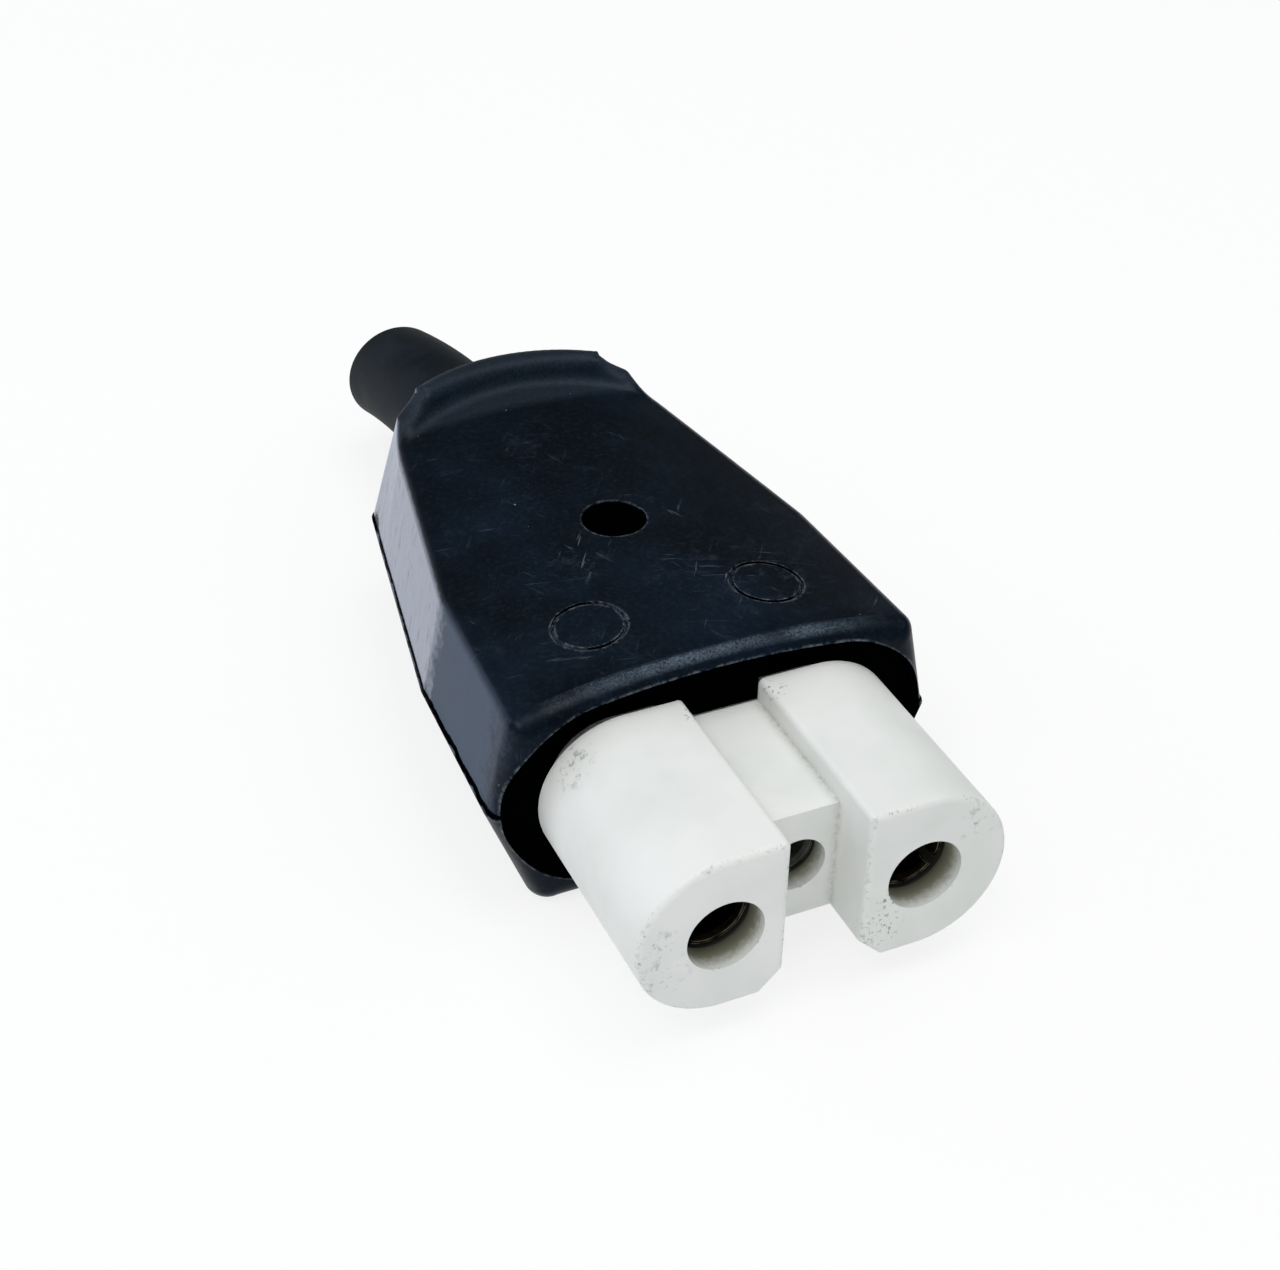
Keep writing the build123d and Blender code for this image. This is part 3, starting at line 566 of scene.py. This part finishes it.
print("materials on", len(nodes), "nodes")


# White paper floor, and a plain studio round it: white backdrop, dark ceiling. The gap keeps it off the underside.
floorLook = {
    "colours": {"paper": "#f4f5f6", "fibre": "#f7f8f8", "white": "#ffffff"},
    "grains": {"fibre": (4, 2.0, 0.5)},
    "size": 4.0,
    "gap": 0.00003,
    "glow": 0.8,
    "mirrored": 1.0,
}


def paleFloor(look):
    mesh = bpy.data.meshes.new("floor")
    shape = bmesh.new()
    lowered = Matrix.Translation((0, 0, -look["gap"]))
    bmesh.ops.create_grid(shape, x_segments=1, y_segments=1, size=look["size"] / 2, matrix=lowered)
    shape.to_mesh(mesh)
    shape.free()
    floor = bpy.data.objects.new("floor", mesh)
    bpy.context.collection.objects.link(floor)
    material, tree, place, colours, grains = newMaterial("palePaper", look)
    colour = addNode(
        tree, "Mix", {0: grains["fibre"], 6: colours["paper"], 7: colours["fibre"]}, 2, data_type="RGBA")
    paper = addNode(tree, "BsdfDiffuse", [colour])
    white = addNode(tree, "Emission", {"Color": colours["white"], "Strength": 1.0})
    path = addNode(tree, "LightPath", output=None)
    seen = addNode(tree, "Math", [path["Is Camera Ray"], look["glow"]], operation="MULTIPLY")
    mirror = addNode(tree, "Math", [path["Is Glossy Ray"], path["Is Transmission Ray"]], operation="ADD")
    mirror = addNode(tree, "Math", [mirror, look["mirrored"]], operation="MULTIPLY")
    share = addNode(tree, "Math", [seen, mirror], operation="ADD")
    both = addNode(tree, "MixShader", [share, paper, white])
    addNode(tree, "OutputMaterial", {"Surface": both}, None)
    floor.data.materials.append(material)


paleFloor(floorLook)

worldLook = {"ambient": "#f3f5f6", "strength": 0.55, "backdropTop": -0.02, "ceiling": 0.12, "ceilingShade": 0.008}


def studioWorld(look):
    world = bpy.data.worlds.new("studio")
    world.use_nodes = True
    tree = world.node_tree
    tree.nodes.clear()
    path = addNode(tree, "LightPath", output=None)
    mirror = addNode(tree, "Math", [path["Is Glossy Ray"], path["Is Transmission Ray"]], operation="ADD")
    seen = addNode(tree, "Math", [path["Is Camera Ray"], mirror], operation="ADD")
    direction = addNode(tree, "TexCoord", output="Generated")
    up = addNode(tree, "SeparateXYZ", [direction], 2)
    backdrop = addNode(tree, "MapRange", [up, look["backdropTop"], look["ceiling"], 1.0, look["ceilingShade"]])
    backdrop = addNode(tree, "Math", [path["Is Camera Ray"], backdrop], operation="MAXIMUM")
    room = addNode(tree, "Background", [linearColour(look["ambient"]), look["strength"]])
    white = addNode(tree, "Background", [linearColour("#ffffff"), backdrop])
    both = addNode(tree, "MixShader", [seen, room, white])
    addNode(tree, "OutputWorld", {"Surface": both}, None)
    bpy.context.scene.world = world


studioWorld(worldLook)

lamps = {
    "keySoftbox": {"at": (-0.45, -0.25, 0.8), "size": 0.5, "watts": 2.6, "colour": "#ffffff"},
    "topFill": {"at": (0.2, -0.1, 0.9), "size": 0.6, "watts": 2.5, "colour": "#ffffff"},
    "rearCard": {"at": (-0.55, 0.45, 0.3), "size": 0.3, "watts": 0.8, "colour": "#dbe8ff"},
}
aim = Vector((0, 0, 0.012))  # the middle of the connector
for name, lamp in lamps.items():
    light = bpy.data.lights.new(name, "AREA")
    light.energy = lamp["watts"]
    light.size = lamp["size"]
    light.color = linearColour(lamp["colour"])[:3]
    holder = bpy.data.objects.new(name, light)
    holder.location = lamp["at"]
    holder.rotation_euler = (aim - Vector(lamp["at"])).to_track_quat("-Z", "Y").to_euler()
    bpy.context.collection.objects.link(holder)
print("floor, backdrop and", len(lamps), "lamps ready")

# Camera: seen from the left and above the prongs.
cameraLook = {"at": (-0.075608, -0.174425, 0.142544), "azimuth": -25.279, "elevation": 35.959, "roll": 1.312, "lens": 64.197}
camera = bpy.data.objects.new("camera", bpy.data.cameras.new("camera"))
camera.data.sensor_fit = "HORIZONTAL"
camera.data.sensor_width = 36
camera.data.lens = cameraLook["lens"]
camera.data.clip_start = 0.01
camera.data.clip_end = 20
turn = Matrix.Rotation(math.radians(cameraLook["azimuth"]), 4, "Z")
tilt = Matrix.Rotation(math.radians(90 - cameraLook["elevation"]), 4, "X")
lean = Matrix.Rotation(math.radians(cameraLook["roll"]), 4, "Z")
camera.matrix_world = Matrix.Translation(cameraLook["at"]) @ turn @ tilt @ lean
bpy.context.collection.objects.link(camera)
bpy.context.scene.camera = camera
bpy.context.scene.view_settings.view_transform = "Standard"
print("camera ready")
